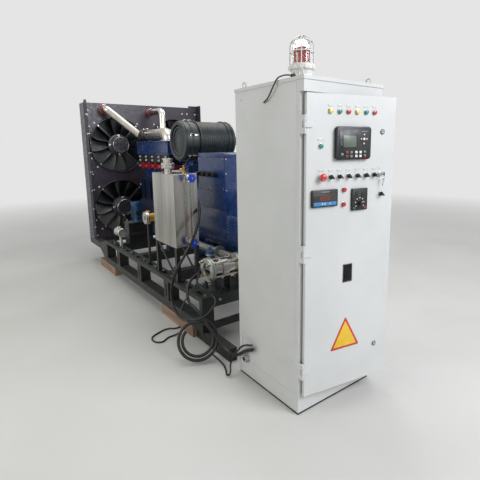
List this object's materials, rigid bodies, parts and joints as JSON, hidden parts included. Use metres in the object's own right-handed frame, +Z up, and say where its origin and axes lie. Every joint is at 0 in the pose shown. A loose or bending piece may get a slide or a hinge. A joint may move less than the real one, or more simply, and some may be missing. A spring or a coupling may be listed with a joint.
{
  "type": "gas engine generator set with control cabinet",
  "caption": "Skid-mounted gas engine and alternator with a fan radiator, air filter and make-up tank, and its own control cabinet with a hinged door, joined by loose cables.",
  "frame": {"origin": "on the floor under the middle of the whole plant, which is the middle of its length and width without the loose cables", "axes": "+Z up; +Y runs along the set from the cabinet door towards the radiator; X runs across the skid, +X to the right as seen from the cabinet door"},
  "size_m": [1.8708, 4.2504, 2.08],
  "materials": {
    "skid_paint": "satin dark green-black paint",
    "timber": "rough sawn",
    "radiator_black": "satin black paint",
    "fin_black": "coated fins",
    "motor_black": "satin",
    "fan_plastic": "moulded",
    "engine_blue": "gloss blue paint on castings",
    "sump_black": "satin",
    "valve_red": "gloss",
    "manifold_iron": "heat-stained",
    "turbo_iron": "as cast",
    "alternator_blue": "satin blue paint",
    "gland_black": "moulded nylon",
    "filter_black": "satin",
    "pipe_silver": "brushed",
    "hose_rubber": "matt",
    "tank_steel": "2B stainless sheet",
    "gauge_metal": "plated",
    "wheel_blue": "gloss",
    "arrester_paint": "grey-green paint",
    "train_metal": "galvanised",
    "box_black": "satin",
    "pump_blue": "gloss",
    "cabinet_paint": "light grey powder coat",
    "zinc_plate": "zinc plated",
    "breaker_black": "moulded",
    "lever_blue": "gloss",
    "lock_chrome": "plated",
    "lamp_plastic": "gloss lenses",
    "instrument_black": "moulded",
    "knob_black": "moulded",
    "stop_red": "gloss",
    "beacon_white": "moulded",
    "beacon_red": "clear red lens",
    "cage_white": "coated wire",
    "cable_black": "rubber sheath"
  },
  "bodies": {
    "plant": {"side_rails": "skid_paint", "cross_members": "skid_paint", "support_blocks": "timber", "radiator_frame": "radiator_black", "radiator_core": "fin_black", "fan_cowls": "radiator_black", "fan_motors": "motor_black", "engine_block": "engine_blue", "oil_sump": "sump_black", "cylinder_heads": "engine_blue", "intake_manifold": "engine_blue", "gas_injectors": "valve_red", "exhaust_manifold": "manifold_iron", "turbocharger": "turbo_iron", "flywheel_housing": "engine_blue", "alternator_body": "alternator_blue", "alternator_end": "alternator_blue", "terminal_box": "alternator_blue", "cable_glands": "gland_black", "air_filter_body": "filter_black", "air_filter_cap": "filter_black", "filter_cradle": "skid_paint", "charge_air_pipe": "pipe_silver", "rubber_hoses": "hose_rubber", "turbo_pipe": "pipe_silver", "tank_shell": "tank_steel", "tank_stand": "skid_paint", "sight_gauge": "gauge_metal", "tank_pipework": "tank_steel", "flame_arrester": "arrester_paint", "gas_train": "train_metal", "battery_box": "box_black", "pump_motor": "pump_blue", "cabinet_posts": "cabinet_paint", "cabinet_panels": "cabinet_paint", "cabinet_roof": "cabinet_paint", "cabinet_base": "cabinet_paint", "mounting_plate": "zinc_plate", "breaker_body": "breaker_black", "beacon_base": "beacon_white", "beacon_lens": "beacon_red", "beacon_cage": "cage_white", "power_cable": "cable_black", "power_coil": "cable_black", "control_cables": "cable_black", "beacon_lead": "cable_black"},
    "rotor_1": {"fan_rotor_1": "fan_plastic"},
    "rotor_2": {"fan_rotor_2": "fan_plastic"},
    "rotor_3": {"fan_rotor_3": "fan_plastic"},
    "rotor_4": {"fan_rotor_4": "fan_plastic"},
    "door": {"cabinet_door": "cabinet_paint", "door_locks": "lock_chrome", "door_lamps": "lamp_plastic", "door_instruments": "instrument_black", "selector_knobs": "knob_black"},
    "stop": {"stop_button": "stop_red"},
    "wheel_upper": {"handwheel_upper": "wheel_blue"},
    "wheel_lower": {"handwheel_lower": "wheel_blue"},
    "lever": {"breaker_lever": "lever_blue"}
  },
  "joints": [
    {"name": "door_hinge", "type": "hinge", "parent": "plant", "child": "door", "pos_m": [-0.757, -1.99991, 0.9], "axis": [0, 0, -1], "range_deg": [-10, 100]},
    {"name": "fan_spin_1", "type": "hinge", "parent": "plant", "child": "rotor_1", "pos_m": [-0.4, 1.93309, 0.7], "axis": [0, 1, 0], "continuous": true},
    {"name": "fan_spin_2", "type": "hinge", "parent": "plant", "child": "rotor_2", "pos_m": [0.4, 1.93309, 0.7], "axis": [0, 1, 0], "continuous": true},
    {"name": "fan_spin_3", "type": "hinge", "parent": "plant", "child": "rotor_3", "pos_m": [-0.4, 1.93309, 1.52], "axis": [0, 1, 0], "continuous": true},
    {"name": "fan_spin_4", "type": "hinge", "parent": "plant", "child": "rotor_4", "pos_m": [0.4, 1.93309, 1.52], "axis": [0, 1, 0], "continuous": true},
    {"name": "wheel_upper_turn", "type": "hinge", "parent": "plant", "child": "wheel_upper", "pos_m": [-0.658, -0.63691, 1.23], "axis": [0, 1, 0], "range_deg": [-90, 540]},
    {"name": "wheel_lower_turn", "type": "hinge", "parent": "plant", "child": "wheel_lower", "pos_m": [-0.658, -0.63691, 0.705], "axis": [0, 1, 0], "range_deg": [-90, 540]},
    {"name": "lever_throw", "type": "hinge", "parent": "plant", "child": "lever", "pos_m": [-0.4695, -1.92491, 0.7795], "axis": [1, 0, 0], "range_deg": [-30, 14]},
    {"name": "stop_press", "type": "slide", "parent": "door", "child": "stop", "axis": [0.1736, 0.9848, 0], "range_m": [0, 0.006], "stiffness_N_per_m": 600}
  ]
}
